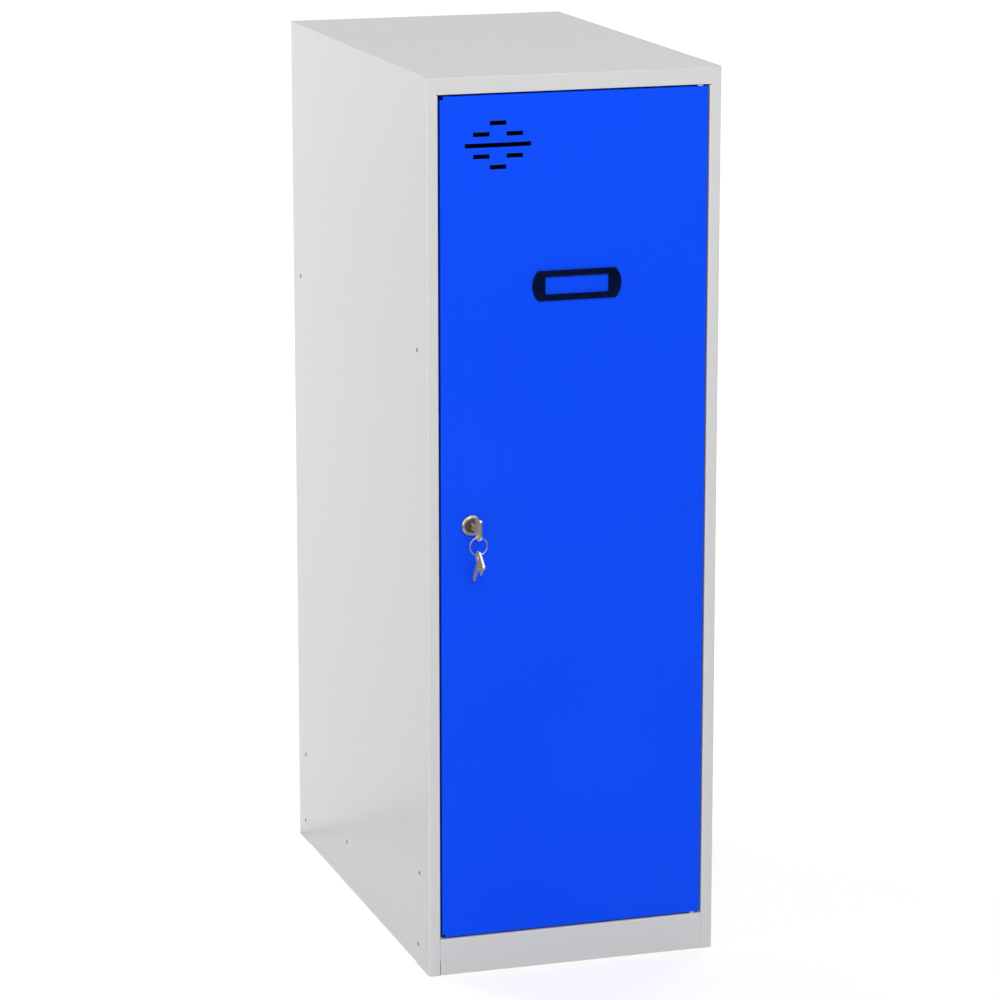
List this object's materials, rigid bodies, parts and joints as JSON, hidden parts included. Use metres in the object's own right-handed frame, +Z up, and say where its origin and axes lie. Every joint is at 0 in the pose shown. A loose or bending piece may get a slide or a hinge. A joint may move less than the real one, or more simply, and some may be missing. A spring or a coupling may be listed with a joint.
{
  "type": "metal locker",
  "caption": "Upright sheet-steel locker with a vented hinged door, inside shelf, plinth, label frame and a cam lock with keys on a ring.",
  "frame": {"origin": "on the floor, in the middle of the footprint of the whole object with its hanging keys", "axes": "+Z up, door facing -Y, hinges towards +X"},
  "size_m": [0.3014, 0.5408, 0.9],
  "materials": {
    "grey_paint": "satin light grey powder coat with fine orange peel",
    "blue_paint": "satin bright blue powder coat with fine orange peel",
    "black_plastic": "black moulded plastic, slightly glossy edges",
    "lock_nickel": "nickel plated, slightly worn",
    "key_nickel": "nickel silver, stamped and ground",
    "zinc_steel": "zinc plated steel",
    "nylon": "natural nylon",
    "rubber": "black rubber"
  },
  "bodies": {
    "carcass": {"side_panel_left": "grey_paint", "side_panel_right": "grey_paint", "roof_panel": "grey_paint", "back_panel": "grey_paint", "floor_panel": "grey_paint", "shelf": "grey_paint", "plinth": "grey_paint", "shelf_rivet_front_left": "grey_paint", "shelf_rivet_back_left": "grey_paint", "floor_rivet_front_left": "grey_paint", "floor_rivet_back_left": "grey_paint", "joining_plug_front_left": "grey_paint", "joining_plug_back_left": "grey_paint", "joining_plug_middle_left": "grey_paint", "shelf_rivet_front_right": "grey_paint", "shelf_rivet_back_right": "grey_paint", "floor_rivet_front_right": "grey_paint", "floor_rivet_back_right": "grey_paint", "joining_plug_front_right": "grey_paint", "joining_plug_back_right": "grey_paint", "joining_plug_middle_right": "grey_paint", "upper_pivot_pin": "zinc_steel", "lower_pivot_pin": "zinc_steel", "door_bumper_upper": "rubber", "door_bumper_lower": "rubber"},
    "door": {"door_panel": "blue_paint", "door_stiffener": "blue_paint", "upper_pivot_bush": "nylon", "lower_pivot_bush": "nylon", "lock_housing": "lock_nickel", "lock_nut": "zinc_steel", "label_holder": "black_plastic", "label_clip_left": "zinc_steel", "label_clip_right": "zinc_steel"},
    "lock_core": {"lock_plug": "lock_nickel", "lock_cam": "zinc_steel", "cam_screw": "zinc_steel"},
    "lock_key": {"key": "key_nickel"},
    "ring": {"key_ring": "key_nickel"},
    "hanging_key": {"spare_key": "key_nickel"}
  },
  "joints": [
    {"name": "door_hinge", "type": "hinge", "parent": "carcass", "child": "door", "pos_m": [0.1294, -0.22464, 0.0398], "axis": [0, 0, 1], "range_deg": [0, 110]},
    {"name": "lock_turn", "type": "hinge", "parent": "door", "child": "lock_core", "pos_m": [-0.1055, -0.22964, 0.46035], "axis": [0, 1, 0], "range_deg": [0, 90]},
    {"name": "key_slide", "type": "slide", "parent": "lock_core", "child": "lock_key", "axis": [0, -1, 0], "range_m": [0, 0.03]},
    {"name": "ring_swing", "type": "hinge", "parent": "lock_key", "child": "ring", "pos_m": [-0.1055, -0.25384, 0.4535], "axis": [-1, 0, 0], "range_deg": [-1.5, 60]},
    {"name": "spare_key_swing", "type": "hinge", "parent": "ring", "child": "hanging_key", "pos_m": [-0.1055, -0.25384, 0.4358], "axis": [-1, 0, 0], "range_deg": [-1, 60]}
  ]
}
